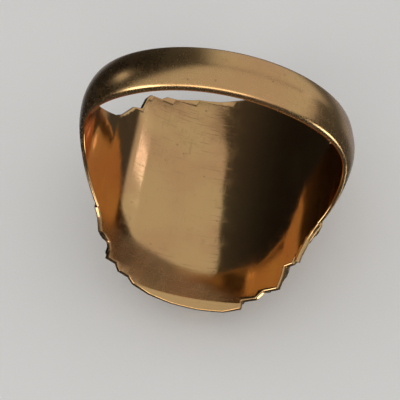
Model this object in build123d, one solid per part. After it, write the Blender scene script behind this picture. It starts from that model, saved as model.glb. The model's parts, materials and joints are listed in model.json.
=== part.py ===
from build123d import *
import os
from math import cos, degrees, hypot, radians, sin

# Nugget-style cocktail ring in gold, built of a shank, shoulders, a liner and nuggets.
#
# Frame: millimetres. The origin is the centre of the finger hole, +Y runs along the finger,
# and +Z points to the back of the shank, so the ring rests on the flats of its crown nuggets.
# Angles are measured round the finger from the middle of the head (-Z) towards +X.
# Every piece is soldered to its neighbours, so the whole ring is rigid.

# Driving dimensions
FINGER_R = 8.9              # radius of the finger hole
LINER_T = 0.4               # sheet thickness of the smooth plate under the nuggets
LINER_R = FINGER_R + LINER_T
LINER_ANGLE = 60.0          # where each shoulder is soldered to the liner
SHANK_ANGLE = 98.0          # where each shoulder is soldered to the shank
REST_DEPTH = 12.0           # from the finger axis to the flats on the crown nuggets
GROOVE = 0.08               # width of the groove between two nuggets at their bases
LIP = 0.15                  # how far the liner stands out from under the rim nuggets
OVERCUT = 0.3               # how far a shape runs past the surface that trims it
REACH = 20.0                # half size of the trimming shapes, larger than the ring

# Low-domed sections of the hoop: half widths towards -Y and +Y, edge and crown thickness
BACK = (1.55, 1.50, 0.65, 1.10)
NECK = (1.10, 1.65, 0.30, 0.60)
LEFT_HEAD = (4.15, 3.30, 0.25, 0.85)
RIGHT_HEAD = (3.00, 3.50, 0.25, 0.85)
FULL_ANGLE = 150.0          # from here to the back, the shank has its full section
HEAD_TAPERS = (1.45, 1.15, 1.00, 1.00)      # powers of the change in each size, neck to head
SECTION_STEP = 5.5          # degrees between two sections of the hoop

# Stepped outline of the liner, once round, as angle and Y
EDGE_NEAR = (
    (-62, -3.9), (-57, -4.8), (-54.5, -5.7), (-51.8, -5.8), (-48.2, -6.1), (-46.9, -6.6),
    (-47.2, -7.25), (-41.5, -7.3), (-39.3, -7.75), (-34, -7.85), (-31, -8.25), (-22.5, -8.6),
    (-12, -8.82), (0, -8.92), (12, -8.9), (20.5, -8.6), (20.5, -8.05), (27.5, -7.9), (31, -7.35),
    (38.5, -7.25), (40, -6.4), (40.6, -5.6), (45.3, -5.5), (46.3, -5.1), (47.9, -5.45),
    (48.9, -5.0), (52.6, -4.0), (56.3, -3.45), (62, -2.9),
)
EDGE_FAR = (
    (62, 3.4), (57, 4.0), (56, 4.7), (50, 5.1), (49, 5.9), (43, 6.2), (42, 7.0), (35, 7.3),
    (33, 7.9), (24, 8.2), (22.5, 8.7), (10, 8.8), (1, 8.45), (-7, 8.1), (-17, 7.85), (-28, 7.25),
    (-33.5, 7.1), (-36, 6.75), (-42.4, 6.6), (-44.2, 6.2), (-46, 5.15), (-51, 4.85), (-57, 3.7),
    (-62, 3.2),
)

# Middle of each nugget as arc length from the middle of the head and Y, then its height
CROWN_NUGGETS = ((0.3, 0.3, 2.95), (-2.5, -2.9, 3.15), (2.3, -3.1, 2.95), (-0.9, 3.7, 2.85))
INNER_NUGGETS = ((4.3, 0.2, 2.35), (2.9, 4.2, 2.15), (-4.2, 3.0, 2.25), (-4.9, -0.6, 2.05))
RIM_NUGGETS = (
    (7.6, -1.9, 1.05), (7.7, 1.7, 0.95), (6.1, 4.6, 1.25), (3.6, 7.2, 1.15), (0.2, 7.3, 1.45),
    (-3.4, 6.6, 1.20), (-6.6, 4.9, 0.95), (-8.0, 1.7, 0.90), (-8.1, -2.0, 1.00),
    (-6.6, -5.2, 1.15), (-3.9, -7.0, 1.40), (-0.3, -7.1, 1.50), (3.0, -6.7, 1.15),
    (5.5, -4.1, 1.35),
)
# Levels of a nugget: how far it is drawn in towards its middle, and its share of the height
TALL_LEVELS = ((0.14, 0.55), (0.50, 0.95))
RIM_LEVELS = ((0.30, 0.50), (0.60, 0.90))


def around(angle, y, radius):
    """Point at an angle round the finger, in degrees, at a radius."""
    return Vector(radius * sin(radians(angle)), y, -radius * cos(radians(angle)))


def finger_cylinder(radius):
    """Cylinder along the finger."""
    return Cylinder(radius, 2 * REACH, rotation=(90, 0, 0))


def sector(start, end):
    """Wedge of space between two angles round the finger."""
    steps = 6
    turns = [start + (end - start) * step / steps for step in range(steps + 1)]
    corners = [Vector(0, 0, 0)] + [around(turn, 0, REACH) for turn in turns]
    return extrude(Face(Wire.make_polygon(corners)), amount=REACH, dir=(0, 1, 0), both=True)


def blend(start, end, share, tapers=(1, 1, 1, 1)):
    """Sizes of a section part of the way from one section to another."""
    return [a + share ** taper * (b - a) for a, b, taper in zip(start, end, tapers)]


def hoop_section(turn, near, far, edge, crown):
    """Low-domed cross-section of the hoop, from near on the -Y side to far on the +Y side."""
    plane = Plane((0, 0, 0), x_dir=around(turn, 0, 1), z_dir=around(turn + 90, 0, 1))
    root = FINGER_R - OVERCUT
    near_edge = (FINGER_R + edge, -near)
    far_edge = (FINGER_R + edge, far)
    top = (FINGER_R + crown, (far - near) / 2)
    sides = Polyline(far_edge, (root, far), (root, -near), near_edge)
    return plane * make_face(sides + ThreePointArc(near_edge, top, far_edge))


def hoop_length(start, end, sizes_at):
    """Length of the hoop between two angles, with its sizes given by a function of the angle."""
    count = round(abs(end - start) / SECTION_STEP)
    turns = [start + (end - start) * step / count for step in range(count + 1)]
    sections = [hoop_section(turn, *sizes_at(abs(turn))) for turn in turns]
    return loft(sections) - finger_cylinder(FINGER_R)


def shank_sizes(angle):
    """Sizes of the shank's section, growing smoothly from the neck."""
    share = min(1, (angle - SHANK_ANGLE) / (FULL_ANGLE - SHANK_ANGLE))
    return blend(NECK, BACK, share * share * (3 - 2 * share))


def make_shank():
    """Low-domed band round the back of the finger, between the shoulders."""
    left_half = hoop_length(-SHANK_ANGLE, -180, shank_sizes)
    right_half = hoop_length(SHANK_ANGLE, 180, shank_sizes)
    return left_half + right_half


def make_shoulder(side, head):
    """Shoulder that grows wider from the neck of the shank to the liner."""
    def sizes_at(angle):
        return blend(NECK, head, (SHANK_ANGLE - angle) / (SHANK_ANGLE - LINER_ANGLE), HEAD_TAPERS)

    return hoop_length(side * SHANK_ANGLE, side * LINER_ANGLE, sizes_at)


def make_liner():
    """Smooth sheet against the finger, cut to the stepped outline of the head."""
    sheet = finger_cylinder(LINER_R) - finger_cylinder(FINGER_R)
    plan = [(around(angle, y, FINGER_R).X, y) for angle, y in EDGE_NEAR + EDGE_FAR]
    outline = extrude(make_face(Polyline(*plan, close=True)), amount=-REACH)
    return sheet & outline & sector(-LINER_ANGLE, LINER_ANGLE)


def nugget_field():
    """Outline of all the nuggets as arc length and Y, a lip inside the liner's edge."""
    limit = LINER_ANGLE - degrees(GROOVE / LINER_R)
    field = []
    for angle, y in EDGE_NEAR + EDGE_FAR:
        arc = radians(max(-limit, min(limit, angle))) * LINER_R
        keep = 1 - LIP / hypot(arc, y)
        field.append((arc * keep, y * keep))
    return field


def nearer_part(cell, middle, other):
    """Part of a cell that is nearer to one middle than to another, less half a groove."""
    span = hypot(other[0] - middle[0], other[1] - middle[1])
    wall = (span - GROOVE) / 2
    toward = ((other[0] - middle[0]) / span, (other[1] - middle[1]) / span)

    def past_wall(point):
        return (point[0] - middle[0]) * toward[0] + (point[1] - middle[1]) * toward[1] - wall

    kept = []
    for start, end in zip(cell, cell[1:] + cell[:1]):
        before = past_wall(start)
        after = past_wall(end)
        if before <= 0:
            kept.append(start)
        if before * after < 0:
            share = before / (before - after)
            kept.append(tuple(a + share * (b - a) for a, b in zip(start, end)))
    return kept


def lifted(cell, middle, draw_in, height):
    """Corners of a cell drawn in towards its middle, at a height over the liner."""
    corners = []
    for point in cell:
        arc, y = (a + draw_in * (b - a) for a, b in zip(point, middle))
        corners.append(around(degrees(arc / LINER_R), y, LINER_R + height))
    return corners


def make_nugget(middle, height, others, shape):
    """Faceted lump on the liner that fills the space nearest to its middle."""
    cell = nugget_field()
    for other in others:
        cell = nearer_part(cell, middle, other)
    levels = [lifted(cell, middle, 0, -OVERCUT)]
    levels += [lifted(cell, middle, draw_in, share * height) for draw_in, share in shape]
    root = lifted([middle], middle, 0, -OVERCUT)[0]
    peak = lifted([middle], middle, 0, height)[0]
    triangles = []
    for this in range(len(cell)):
        after = (this + 1) % len(cell)
        triangles.append((root, levels[0][this], levels[0][after]))
        triangles.append((peak, levels[-1][after], levels[-1][this]))
        for low, high in zip(levels, levels[1:]):
            triangles.append((low[this], high[this], high[after]))
            triangles.append((low[this], high[after], low[after]))
    lump = Solid(Shell([Face(Wire.make_polygon(corners)) for corners in triangles]))
    above_rest = Pos(0, 0, REACH - REST_DEPTH) * Box(2 * REACH, 2 * REACH, 2 * REACH)
    return (lump - finger_cylinder(LINER_R)) & above_rest


def make_nuggets():
    """Every nugget by name, each with the groove between it and its neighbours."""
    groups = (
        ("crown_nugget", CROWN_NUGGETS, TALL_LEVELS),
        ("inner_nugget", INNER_NUGGETS, TALL_LEVELS),
        ("rim_nugget", RIM_NUGGETS, RIM_LEVELS),
    )
    middles = [(arc, y) for group, places, shape in groups for arc, y, height in places]
    nuggets = {}
    for group, places, shape in groups:
        for number, (arc, y, height) in enumerate(places, start=1):
            others = [middle for middle in middles if middle != (arc, y)]
            nuggets[f"{group}_{number:02d}"] = make_nugget((arc, y), height, others, shape)
    return nuggets


ring = {
    "shank_band": make_shank(),
    "left_shoulder": make_shoulder(-1, LEFT_HEAD),
    "right_shoulder": make_shoulder(1, RIGHT_HEAD),
    "finger_liner": make_liner(),
}
ring.update(make_nuggets())

os.makedirs("parts", exist_ok=True)
for name, solid in ring.items():
    export_step(solid, f"parts/{name}.step")
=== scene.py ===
"""Looks of the nugget-style gold cocktail ring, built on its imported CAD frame.

Metres, in the row frame: the origin is the centre of the finger hole, +Y runs along the
finger, +Z points to the back of the shank, and the ring lies on its head. Angles are measured
round the finger from the middle of the head (-Z) towards +X.
"""
import bmesh
import bpy
import json
from math import acos, atan2, cos, degrees, hypot, pi, radians, sin, tan
from mathutils import Matrix, Vector, noise


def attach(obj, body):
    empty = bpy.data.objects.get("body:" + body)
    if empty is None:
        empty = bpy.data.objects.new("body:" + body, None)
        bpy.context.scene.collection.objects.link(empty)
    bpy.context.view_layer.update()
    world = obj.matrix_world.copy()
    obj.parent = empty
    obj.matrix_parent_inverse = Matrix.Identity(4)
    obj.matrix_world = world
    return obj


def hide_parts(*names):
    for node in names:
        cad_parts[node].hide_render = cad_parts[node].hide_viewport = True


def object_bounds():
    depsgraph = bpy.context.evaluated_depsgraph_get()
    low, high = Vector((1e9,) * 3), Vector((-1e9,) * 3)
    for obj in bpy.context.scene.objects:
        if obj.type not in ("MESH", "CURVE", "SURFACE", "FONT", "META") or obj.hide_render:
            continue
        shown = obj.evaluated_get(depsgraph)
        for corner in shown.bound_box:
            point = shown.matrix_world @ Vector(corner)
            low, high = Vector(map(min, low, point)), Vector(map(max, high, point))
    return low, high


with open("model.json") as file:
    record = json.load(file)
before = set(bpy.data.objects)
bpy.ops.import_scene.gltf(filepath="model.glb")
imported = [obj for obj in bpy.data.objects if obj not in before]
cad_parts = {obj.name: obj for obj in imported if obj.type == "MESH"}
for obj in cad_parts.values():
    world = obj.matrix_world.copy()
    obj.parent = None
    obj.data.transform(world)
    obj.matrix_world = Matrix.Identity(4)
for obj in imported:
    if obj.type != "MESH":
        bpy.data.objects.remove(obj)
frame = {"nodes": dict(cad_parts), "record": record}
cad_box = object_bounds()

MM = 0.001
FINGER_R = frame["record"]["mounts"][0]["dims"]["r_mm"] * MM
LINER_T = 0.4 * MM          # sheet thickness of the liner, as in the CAD

# Hoop sections, as in the CAD: half widths towards -Y and +Y, edge and crown thickness, in mm
BACK = (1.55, 1.50, 0.65, 1.10)
NECK = (1.10, 1.65, 0.30, 0.60)
LEFT_HEAD = (4.15, 3.30, 0.25, 0.85)
RIGHT_HEAD = (3.00, 3.50, 0.25, 0.85)
HEAD_TAPERS = (1.45, 1.15, 1.00, 1.00)
LINER_ANGLE = 60.0
SHANK_ANGLE = 98.0
FULL_ANGLE = 150.0
SECTION_STEP = 1.5          # degrees between two sections
CROWN_POINTS = 12           # steps across the domed outside of a section
CORNER_POINTS = 5           # points on a rounded corner
INNER_CORNER = 0.40         # radius of a corner against the finger, as a share of the edge thickness
OUTER_CORNER = 0.58         # radius of a corner on the outside, as the same share
MERGE = 1e-6                # points of a CAD mesh closer than this are one point


# ---------------------------------------------------------------- mesh helpers

def around(angle, y, radius):
    """Point at an angle round the finger, in degrees, at a radius."""
    return Vector((radius * sin(radians(angle)), y, -radius * cos(radians(angle))))


def new_piece(name, mesh, slot, material, *nodes):
    """Piece that rides on the ring and stands for its CAD nodes."""
    piece = bpy.data.objects.new(name, mesh)
    bpy.context.scene.collection.objects.link(piece)
    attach(piece, "root")
    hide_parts(*nodes)
    mesh.materials.clear()
    mesh.materials.append(material)
    return piece


def mesh_from(name, bm):
    """Smooth mesh datablock from a bmesh, with its normals facing out."""
    bmesh.ops.recalc_face_normals(bm, faces=bm.faces)
    mesh = bpy.data.meshes.new(name)
    bm.to_mesh(mesh)
    bm.free()
    mesh.shade_smooth()
    return mesh


def skin(bm, rings):
    """Faces from each ring of vertices to the next, with one face across each end."""
    for this, after in zip(rings, rings[1:]):
        for i in range(len(this)):
            j = (i + 1) % len(this)
            bm.faces.new((this[i], this[j], after[j], after[i]))
    bm.faces.new(rings[0])
    bm.faces.new(rings[-1])


def rounded(corners, radii):
    """Closed outline with an arc at each corner that has a radius."""
    outline = []
    for index, (corner, radius) in enumerate(zip(corners, radii)):
        if radius == 0:
            outline.append(corner)
            continue
        to_before = (corners[index - 1] - corner).normalized()
        to_after = (corners[(index + 1) % len(corners)] - corner).normalized()
        half = acos(max(-1.0, min(1.0, to_before.dot(to_after)))) / 2
        reach = radius / tan(half)
        centre = corner + (to_before + to_after).normalized() * radius / sin(half)
        start = corner + to_before * reach - centre
        end = corner + to_after * reach - centre
        for step in range(CORNER_POINTS):
            share = step / (CORNER_POINTS - 1)
            outline.append(centre + start.slerp(end, share).normalized() * radius)
    return outline


# ---------------------------------------------------------------- hoop

def blend(start, end, share, tapers=(1, 1, 1, 1)):
    """Sizes of a section part of the way from one section to another."""
    return [a + share ** taper * (b - a) for a, b, taper in zip(start, end, tapers)]


def section_outline(near, far, edge, crown):
    """Low-domed section as radius and Y, with polished corners."""
    middle = (far - near) / 2
    half = (far + near) / 2
    corners = [Vector((FINGER_R, far * MM)), Vector((FINGER_R, -near * MM))]
    for step in range(CROWN_POINTS + 1):
        across = 2 * step / CROWN_POINTS - 1
        rise = edge + (crown - edge) * (1 - across * across)
        corners.append(Vector((FINGER_R + rise * MM, (middle + across * half) * MM)))
    radii = [0] * len(corners)
    radii[0] = radii[1] = INNER_CORNER * edge * MM
    radii[2] = radii[-1] = OUTER_CORNER * edge * MM
    return rounded(corners, radii)


def hoop_piece(name, start, end, sizes_at, node):
    """Length of the hoop between two angles, with its sizes given by a function of the angle."""
    bm = bmesh.new()
    count = round(abs(end - start) / SECTION_STEP)
    rings = []
    for step in range(count + 1):
        angle = start + (end - start) * step / count
        outline = section_outline(*sizes_at(angle))
        rings.append([bm.verts.new(around(angle, point.y, point.x)) for point in outline])
    skin(bm, rings)
    mesh = mesh_from(name, bm)
    mesh.set_sharp_from_angle(angle=radians(35))
    return new_piece(name, mesh, "polished_gold", smooth_gold, node)


def shank_sizes(angle):
    """Sizes of the shank's section, growing smoothly from the necks to the back."""
    from_back = abs(180 - angle)
    share = min(1, (180 - SHANK_ANGLE - from_back) / (FULL_ANGLE - SHANK_ANGLE))
    return blend(NECK, BACK, share * share * (3 - 2 * share))


def make_shoulder(name, side, head):
    """Shoulder that grows wider from the neck of the shank to the liner."""
    def sizes_at(angle):
        share = (SHANK_ANGLE - abs(angle)) / (SHANK_ANGLE - LINER_ANGLE)
        return blend(NECK, head, share, HEAD_TAPERS)

    hoop_piece(name, side * SHANK_ANGLE, side * LINER_ANGLE, sizes_at, name.replace("-", "_"))


# ---------------------------------------------------------------- liner

LINER_EDGE_R = 0.10 * MM    # rounding of the liner's worn edge
LIP_Y = -8.25 * MM          # the liner's inner face bends down from here to its near end
LIP_SLOPE = 0.24            # fall of the bent lip away from the finger, per unit of Y
ON_FACE = 0.05 * MM         # a point this close to the finger hole lies on the liner's inner face
ARC_CELLS = 40              # cells of the liner's mesh from its middle to a shoulder
ROW_CELLS = 15              # rows of cells in a length of one finger radius


def liner_outline():
    """Outline of the liner's inner face, read from its CAD mesh, as arc length and Y."""
    bm = bmesh.new()
    bm.from_mesh(frame["nodes"]["finger_liner"].data)
    bmesh.ops.remove_doubles(bm, verts=bm.verts, dist=MERGE)
    rim = {}
    for edge in bm.edges:
        inside = all(abs(hypot(v.co.x, v.co.z) - FINGER_R) < ON_FACE for v in edge.verts)
        if inside and edge.calc_face_angle(0) > radians(30):
            for this, other in (edge.verts, reversed(edge.verts)):
                rim.setdefault(this, []).append(other)
    start = min(rim, key=lambda v: v.co.y)
    loop = [start, rim[start][0]]
    while loop[-1] != start:
        loop.append(next(v for v in rim[loop[-1]] if v != loop[-2]))
    outline = [Vector((FINGER_R * atan2(v.co.x, -v.co.z), v.co.y)) for v in loop[:-1]]
    bm.free()
    area = sum(a.x * b.y - b.x * a.y for a, b in zip(outline, outline[1:] + outline[:1]))
    return outline if area > 0 else outline[::-1]


def inset(outline, distance):
    """Outline moved inwards, apart from its ends on the shoulders, which stay on them."""
    moved = []
    for index, point in enumerate(outline):
        before = (point - outline[index - 1]).normalized()
        after = (outline[(index + 1) % len(outline)] - point).normalized()
        inwards = Vector((-before.y - after.y, before.x + after.x)) / (1 + before.dot(after))
        place = point + inwards * distance
        if abs(point.x) > FINGER_R * radians(LINER_ANGLE - 0.1):
            place = Vector((point.x, point.y - distance * (1 if point.y > 0 else -1)))
        moved.append(place)
    return moved


def cut_grid(bm):
    """Cuts a flat mesh into small cells, with close rows where its lip bends down."""
    limit = FINGER_R * radians(LINER_ANGLE)
    cuts = [((limit * i / ARC_CELLS, 0, 0), (1, 0, 0)) for i in range(1 - ARC_CELLS, ARC_CELLS)]
    rows = [LIP_Y + shift * MM for shift in (-0.3, -0.06, -0.03, 0, 0.03, 0.06)]
    rows += [FINGER_R * i / ROW_CELLS for i in range(2 - ROW_CELLS, ROW_CELLS)]
    cuts += [((0, row, 0), (0, 1, 0)) for row in rows]
    for point, normal in cuts:
        geometry = list(bm.verts) + list(bm.edges) + list(bm.faces)
        bmesh.ops.bisect_plane(bm, geom=geometry, dist=1e-7, plane_co=point, plane_no=normal)


def make_liner():
    """Smooth sheet against the finger, with a rounded stepped edge and a bent near lip."""
    bm = bmesh.new()
    outline = liner_outline()
    profile = []
    for step in range(CORNER_POINTS):
        turn = radians(90 * step / (CORNER_POINTS - 1))
        profile.append((LINER_EDGE_R * (1 - sin(turn)), LINER_EDGE_R * (1 - cos(turn))))
    profile += [(back, LINER_T - depth) for back, depth in reversed(profile)]
    rings = []
    for back, depth in profile:
        rings.append([bm.verts.new((*point, depth)) for point in inset(outline, back)])
    skin(bm, rings)
    cut_grid(bm)
    for vert in bm.verts:
        arc, y, depth = vert.co
        past_bend = max(0, LIP_Y - y)
        bend = LIP_SLOPE * past_bend * max(0, 1 - depth / LINER_T)
        vert.co = around(degrees(arc / FINGER_R), y, FINGER_R + depth + bend)
    mesh = mesh_from("finger-liner", bm)
    mesh.set_sharp_from_angle(angle=radians(40))
    return new_piece("finger-liner", mesh, "polished_gold", smooth_gold, "finger_liner")


# ---------------------------------------------------------------- nuggets

NUGGET_VOXEL = 0.07 * MM    # cell size of a nugget's mesh
RIM_RELIEF = 0.55           # share of the relief on the low rim nuggets
FADE_IN = 0.15 * MM         # height over the liner in which the relief grows from nothing


def nugget_relief(place):
    """Height of the melted knobs, folds and pits of a nugget at a place in mm, in mm."""
    knobs = 0.24 * (0.45 - noise.voronoi(place * 1.05)[0][0])
    folds = 0.12 * noise.noise(place * 1.7)
    pits = -0.20 * max(0, noise.noise(place * 2.6) - 0.25)
    grain = 0.012 * noise.noise(place * 7.5)
    return knobs + folds + pits + grain + 0.02


def make_nugget(node, relief):
    """Rounded lump made from its faceted CAD solid, with a share of the relief and worn flats."""
    bm = bmesh.new()
    bm.from_mesh(frame["nodes"][node].data)
    bmesh.ops.remove_doubles(bm, verts=bm.verts, dist=MERGE)
    blank = bpy.data.objects.new(node + "-blank", mesh_from(node + "-blank", bm))
    bpy.context.scene.collection.objects.link(blank)
    remesh = blank.modifiers.new("remesh", "REMESH")
    remesh.mode = "VOXEL"
    remesh.voxel_size = NUGGET_VOXEL
    smooth = blank.modifiers.new("smooth", "SMOOTH")
    smooth.factor = 0.5
    smooth.iterations = 9
    graph = bpy.context.evaluated_depsgraph_get()
    mesh = bpy.data.meshes.new_from_object(blank.evaluated_get(graph))
    bpy.data.objects.remove(blank)
    normals = [vert.normal.copy() for vert in mesh.vertices]
    for vert, normal in zip(mesh.vertices, normals):
        radius = hypot(vert.co.x, vert.co.z)
        free = min(1, max(0, (radius - FINGER_R - LINER_T) / FADE_IN))
        place = vert.co + normal * nugget_relief(vert.co / MM) * relief * free * MM
        vert.co = (place.x, place.y, max(place.z, cad_box[0].z))
    mesh.shade_smooth()
    return new_piece(node.replace("_", "-"), mesh, "nugget_gold", rough_gold, node)


# ---------------------------------------------------------------- materials

# Polished gold: two shades of the metal, then what is on it; the rubbed gold is partly wear and partly
# painted shade
PALE_GOLD = (0.725, 0.402, 0.155)
DEEP_GOLD = (0.695, 0.352, 0.142)
STAIN = (0.42, 0.20, 0.07)
DUST = (0.32, 0.17, 0.07)
SCRATCH = (0.36, 0.19, 0.08)
# Painted shade: dark brown for the rubbed lip margin, partly wear and partly shade painted into the
# colour
RUBBED_GOLD_AND_SHADE = (0.36, 0.175, 0.07)
WORN_EDGE = (0.82, 0.47, 0.20)

# Nugget gold: two shades of the metal, the grime in its pits and the polish on its peaks
PALE_NUGGET = (0.80, 0.46, 0.20)
DEEP_NUGGET = (0.68, 0.36, 0.13)
GRIME = (0.20, 0.10, 0.04)
PEAK = (0.88, 0.58, 0.30)

PALE_PAINT = (0.82, 0.81, 0.79)
SHADED_PAINT = (0.78, 0.77, 0.75)


def add(tree, kind, inputs, **settings):
    """Adds a node with its settings, and sets its inputs or joins them to sockets."""
    new = tree.nodes.new(kind)
    for name, value in settings.items():
        setattr(new, name, value)
    for key, value in inputs.items():
        if isinstance(value, bpy.types.NodeSocket):
            tree.links.new(value, new.inputs[key])
        else:
            new.inputs[key].default_value = value
    return new


def noise_field(tree, place, scale, detail=3.0, rough=0.5):
    """Value of a noise between 0 and 1 at a place in object space."""
    field = add(tree, "ShaderNodeTexNoise", {"Vector": place, "Scale": scale, "Detail": detail,
                                             "Roughness": rough})
    return field.outputs["Fac"]


def ramp(tree, value, low, high, start=0.0, end=1.0):
    """Value mapped smoothly from one range to another, and held at its ends."""
    field = add(tree, "ShaderNodeMapRange", {"Value": value, "From Min": low, "From Max": high,
                                             "To Min": start, "To Max": end},
                interpolation_type="SMOOTHSTEP")
    return field.outputs["Result"]


def calculate(tree, operation, *values):
    """Result of a math node."""
    return add(tree, "ShaderNodeMath", dict(enumerate(values)), operation=operation).outputs[0]


def product(tree, first, *others):
    """Product of values."""
    result = first
    for other in others:
        result = calculate(tree, "MULTIPLY", result, other)
    return result


def tint(tree, share, start, end):
    """Colour between two colours."""
    mix = tree.nodes.new("ShaderNodeMix")
    mix.data_type = "RGBA"
    # By number, because the node has other sockets with the same names for other types of value
    share_socket, start_socket, end_socket = (mix.inputs[i] for i in (0, 6, 7))
    tree.links.new(share, share_socket)
    for socket, colour in ((start_socket, start), (end_socket, end)):
        if isinstance(colour, bpy.types.NodeSocket):
            tree.links.new(colour, socket)
        else:
            socket.default_value = (*colour, 1)
    return mix.outputs[2]


def new_material(name, metallic):
    """New material with its node tree, its shader and its place in object space."""
    material = bpy.data.materials.new(name)
    material.use_nodes = True
    tree = material.node_tree
    shader = tree.nodes["Principled BSDF"]
    shader.inputs["Metallic"].default_value = metallic
    place = add(tree, "ShaderNodeTexCoord", {}).outputs["Object"]
    return material, tree, shader, place


def scratches(tree, place, stretch, width):
    """Fine parallel scratches, long where the stretch is small, as a value from 0 to 1."""
    streaks = add(tree, "ShaderNodeVectorMath", {0: place, 1: stretch}, operation="MULTIPLY")
    field = noise_field(tree, streaks.outputs["Vector"], 1.0, detail=1.0)
    return ramp(tree, field, 0.70 - width, 0.70)


def add_bump(tree, shader, height, distance, strength):
    """Bump on a shader from a height field."""
    bump = add(tree, "ShaderNodeBump", {"Height": height, "Distance": distance, "Strength": strength})
    tree.links.new(bump.outputs["Normal"], shader.inputs["Normal"])


def polished_gold():
    """Mirror polish against the finger, softer and worn on the outside, with fine scratches, and painted
    shade darkening the rubbed lip margin.
    """
    material, tree, shader, place = new_material("polished gold", 1.0)
    flat = add(tree, "ShaderNodeVectorMath", {0: place, 1: (1, 0, 1)}, operation="MULTIPLY")
    radius = add(tree, "ShaderNodeVectorMath", {0: flat.outputs["Vector"]}, operation="LENGTH")
    outside = ramp(tree, radius.outputs["Value"], FINGER_R + 0.05 * MM, FINGER_R + 0.25 * MM)
    toward_lip = add(tree, "ShaderNodeVectorMath", {0: place, 1: (-0.3, -1, 0)}, operation="DOT_PRODUCT")
    y = add(tree, "ShaderNodeSeparateXYZ", {0: place}).outputs["Y"]
    # Lip margin: rougher from rubbing, which is real wear, and darkened in colour as painted shade
    rubbed_margin_and_shade = product(tree, ramp(tree, toward_lip.outputs["Value"], 6.2 * MM, 7.6 * MM),
                     ramp(tree, y, LIP_Y - 0.1 * MM, LIP_Y + 0.2 * MM))

    clouds = noise_field(tree, place, 260, detail=4)
    smudges = ramp(tree, noise_field(tree, place, 900, detail=5, rough=0.65), 0.42, 0.68)
    stains = ramp(tree, noise_field(tree, place, 1500, detail=6, rough=0.7), 0.58, 0.72)
    specks = add(tree, "ShaderNodeTexVoronoi", {"Vector": place, "Scale": 1100, "Randomness": 1.0})
    dust = ramp(tree, specks.outputs["Distance"], 0.06, 0.10, 1.0, 0.0)
    along = scratches(tree, place, (500, 9000, 500), 0.05)
    across = scratches(tree, place, (9000, 700, 2500), 0.04)
    marks = calculate(tree, "MAXIMUM", along, across)
    edge = add(tree, "ShaderNodeNewGeometry", {}).outputs["Pointiness"]
    worn = ramp(tree, edge, 0.53, 0.60)

    colour = tint(tree, ramp(tree, clouds, 0.36, 0.64), PALE_GOLD, DEEP_GOLD)
    # The dark tint on the lip margin is painted shade over rubbed gold
    layers = ((stains, 0.30, STAIN), (dust, 0.45, DUST), (marks, 0.10, SCRATCH),
              (rubbed_margin_and_shade, 0.75, RUBBED_GOLD_AND_SHADE), (worn, 0.50, WORN_EDGE))
    for share, strength, layer in layers:
        colour = tint(tree, product(tree, share, strength), colour, layer)
    tree.links.new(colour, shader.inputs["Base Color"])

    gloss = calculate(tree, "MULTIPLY_ADD", smudges, 0.05, 0.070)
    gloss = calculate(tree, "MULTIPLY_ADD", marks, 0.04, gloss)
    gloss = calculate(tree, "MULTIPLY_ADD", calculate(tree, "MAXIMUM", outside, rubbed_margin_and_shade), 0.18, gloss)
    tree.links.new(gloss, shader.inputs["Roughness"])

    ripple = noise_field(tree, place, 330, detail=0)
    grain = noise_field(tree, place, 5200, detail=3)
    height = calculate(tree, "MULTIPLY_ADD", ripple, 0.9, product(tree, grain, 0.03))
    height = calculate(tree, "MULTIPLY_ADD", marks, -0.012, height)
    height = calculate(tree, "MULTIPLY_ADD", dust, -0.03, height)
    add_bump(tree, shader, height, 0.02 * MM, 1.0)
    return material


def nugget_gold():
    """Bright knobbly gold, polished on its peaks and dull with grime in its pits."""
    material, tree, shader, place = new_material("nugget gold", 1.0)
    edge = add(tree, "ShaderNodeNewGeometry", {}).outputs["Pointiness"]
    peaks = ramp(tree, edge, 0.51, 0.58)
    crevices = ramp(tree, edge, 0.42, 0.49, 1.0, 0.0)
    clouds = noise_field(tree, place, 700, detail=4)
    pores = ramp(tree, noise_field(tree, place, 6500, detail=4, rough=0.7), 0.56, 0.72)

    metal = tint(tree, ramp(tree, clouds, 0.35, 0.65), PALE_NUGGET, DEEP_NUGGET)
    grimy = tint(tree, product(tree, crevices, 0.75), metal, GRIME)
    tree.links.new(tint(tree, peaks, grimy, PEAK), shader.inputs["Base Color"])

    gloss = calculate(tree, "MULTIPLY_ADD", crevices, 0.25, 0.20)
    gloss = calculate(tree, "MULTIPLY_ADD", peaks, -0.09, gloss)
    gloss = calculate(tree, "MULTIPLY_ADD", pores, 0.10, gloss)
    tree.links.new(gloss, shader.inputs["Roughness"])

    hammered = noise_field(tree, place, 2300, detail=3, rough=0.6)
    height = calculate(tree, "MULTIPLY_ADD", pores, -0.35, hammered)
    add_bump(tree, shader, height, 0.03 * MM, 0.7)
    return material


def floor_paint():
    """Plain pale matt board with a faint fine grain."""
    material, tree, shader, place = new_material("pale floor", 0.0)
    mottle = noise_field(tree, place, 60, detail=3)
    tree.links.new(tint(tree, mottle, SHADED_PAINT, PALE_PAINT), shader.inputs["Base Color"])
    shader.inputs["Roughness"].default_value = 0.75
    add_bump(tree, shader, noise_field(tree, place, 3000, detail=4), 0.02 * MM, 0.4)
    return material


# ---------------------------------------------------------------- stage

# What the gold sees: levels of light in a cool colour, where 1 is a white surface
STUDIO_COLOUR = (0.99, 1.14, 1.28)
SOFTBOX_LEVEL = 0.50        # also the level of the rear wall
DARK_LEVELS = (0.012, 0.068)        # the dark of the studio, from its left to its middle
GROUND_LEVEL = 0.26

# Soft spots of light: direction, cosines of the spot's edge and core, and level
SOFT_SPOTS = (
    ((-0.65, -0.75, 0.08), 0.950, 0.985, 4.5),
    ((0.71, -0.49, -0.50), 0.965, 0.988, 4.5),
    ((-0.96, 0.22, 0.15), 0.980, 0.995, 0.9),
)


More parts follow.
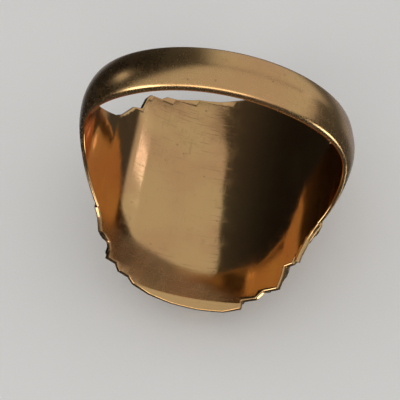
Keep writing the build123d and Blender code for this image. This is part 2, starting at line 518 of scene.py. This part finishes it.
def make_floor():
    """Plain pale floor under the lowest point of the ring."""
    bm = bmesh.new()
    bmesh.ops.create_grid(bm, x_segments=8, y_segments=8, size=3.0)
    floor = bpy.data.objects.new("floor", mesh_from("floor", bm))
    floor.location.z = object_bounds()[0].z
    floor.data.materials.append(floor_paint())
    floor.visible_glossy = False
    bpy.context.scene.collection.objects.link(floor)


def soft_light(name, direction, distance, width, height, radiance, colour=(1, 1, 1)):
    """Rectangular soft light of an even brightness that faces the ring."""
    lamp = bpy.data.lights.new(name, "AREA")
    lamp.shape = "RECTANGLE"
    lamp.size = width
    lamp.size_y = height
    lamp.energy = radiance * pi * width * height
    lamp.color = colour
    light = bpy.data.objects.new(name, lamp)
    place = Vector(direction).normalized() * distance
    facing = place.to_track_quat("Z", "Y").to_matrix().to_4x4()
    light.matrix_world = Matrix.Translation(place) @ facing
    light.visible_camera = False
    bpy.context.scene.collection.objects.link(light)


def make_camera():
    """Camera above and behind the ring, looking into the head through the shank."""
    azimuth = radians(11.8)
    elevation = radians(63.8)
    roll = radians(-2.3)
    distance = 112 * MM
    target = Vector((-1.26 * MM, 0, -9.68 * MM))
    back = Vector((sin(azimuth) * cos(elevation), -cos(azimuth) * cos(elevation), sin(elevation)))
    right = Vector((cos(azimuth), sin(azimuth), 0))
    up = back.cross(right)
    rolled_right = cos(roll) * right + sin(roll) * up
    rolled_up = -sin(roll) * right + cos(roll) * up
    lens = bpy.data.cameras.new("camera")
    lens.lens = 135
    lens.clip_start = 1 * MM
    lens.clip_end = 20
    camera = bpy.data.objects.new("camera", lens)
    rotation = Matrix((rolled_right, rolled_up, back)).transposed().to_4x4()
    camera.matrix_world = Matrix.Translation(target + back * distance) @ rotation
    bpy.context.scene.collection.objects.link(camera)
    bpy.context.scene.camera = camera


def right_of_line(tree, x, y, slope, start):
    """How far a direction's x lies to the right of the line x = start + slope * y."""
    return calculate(tree, "SUBTRACT", x, calculate(tree, "MULTIPLY_ADD", y, slope, start))


def softbox_share(tree, x, y, z):
    """Share of the softbox seen in a direction: two straight edges and a rounded far corner."""
    near_edge = right_of_line(tree, x, y, 1.1, -0.718)
    far_edge = right_of_line(tree, x, y, 2.7, -1.353)
    # Scaled down, so that the smooth minimum rounds the far corner and leaves the edges straight
    left_edge = product(tree, calculate(tree, "MINIMUM", near_edge, far_edge), 0.1)
    rear_edge = calculate(tree, "SUBTRACT", 0.492, y)
    inside = calculate(tree, "SMOOTH_MIN", left_edge, rear_edge, 0.04)
    return product(tree, ramp(tree, inside, 0, 0.003), ramp(tree, z, 0.04, 0.12))


def rear_wall_share(tree, x, y, z):
    """Share of the pale wall behind the ring, seen in a direction."""
    return product(tree, ramp(tree, y, 0.525, 0.545), ramp(tree, x, -0.25, -0.05),
                   ramp(tree, z, -0.30, -0.12))


def ground_share(tree, x, y, z):
    """Share of the pale patch of ground behind the ring, seen in a direction."""
    return product(tree, ramp(tree, z, -0.45, -0.65), ramp(tree, y, 0.33, 0.42),
                   ramp(tree, x, -0.6, -0.4))


def spot_share(tree, direction, middle, edge, core):
    """Share of a round soft spot of light seen in a direction, from the cosines of its edge and core."""
    nearness = add(tree, "ShaderNodeVectorMath", {0: direction, 1: middle}, operation="DOT_PRODUCT")
    return ramp(tree, nearness.outputs["Value"], edge, core)


def make_world():
    """Pale room, in which the gold sees a softbox, a rear wall and otherwise a dark studio."""
    world = bpy.data.worlds.new("studio")
    world.use_nodes = True
    world.cycles.sampling_method = "NONE"
    tree = world.node_tree
    direction = add(tree, "ShaderNodeTexCoord", {}).outputs["Generated"]
    x, y, z = add(tree, "ShaderNodeSeparateXYZ", {0: direction}).outputs
    bright = calculate(tree, "MAXIMUM", softbox_share(tree, x, y, z), rear_wall_share(tree, x, y, z))
    level = ramp(tree, x, -0.90, 0.05, *DARK_LEVELS)
    level = calculate(tree, "MULTIPLY_ADD", bright, SOFTBOX_LEVEL, level)
    for middle, edge, core, spot_level in SOFT_SPOTS:
        spot = spot_share(tree, direction, middle, edge, core)
        level = calculate(tree, "MULTIPLY_ADD", spot, spot_level, level)
    level = calculate(tree, "MULTIPLY_ADD", ground_share(tree, x, y, z), GROUND_LEVEL, level)
    studio = add(tree, "ShaderNodeBackground", {"Color": (*STUDIO_COLOUR, 1), "Strength": level})
    room = add(tree, "ShaderNodeBackground", {"Color": ramp(tree, z, 0, 0.6, 0.55, 0.72)})
    glossy = add(tree, "ShaderNodeLightPath", {}).outputs["Is Glossy Ray"]
    both = add(tree, "ShaderNodeMixShader", {0: glossy, 1: room.outputs[0], 2: studio.outputs[0]})
    tree.links.new(both.outputs[0], tree.nodes["World Output"].inputs["Surface"])
    bpy.context.scene.world = world


# ---------------------------------------------------------------- the scene

smooth_gold = polished_gold()
rough_gold = nugget_gold()
hoop_piece("shank", SHANK_ANGLE, 360 - SHANK_ANGLE, shank_sizes, "shank_band")
make_shoulder("left-shoulder", -1, LEFT_HEAD)
make_shoulder("right-shoulder", 1, RIGHT_HEAD)
make_liner()
for node in sorted(frame["nodes"]):
    if "nugget" in node:
        make_nugget(node, RIM_RELIEF if node.startswith("rim") else 1)

make_floor()
make_camera()
make_world()
soft_light("streak", direction=(0.8484, 0.4783, 0.2269), distance=143 * MM, width=6 * MM,
           height=28 * MM, radiance=1.6, colour=(0.62, 0.70, 1.0))
soft_light("front", direction=(-0.05, -0.90, 0.42), distance=300 * MM, width=200 * MM,
           height=90 * MM, radiance=2.5)
bpy.context.scene.view_settings.view_transform = "Standard"
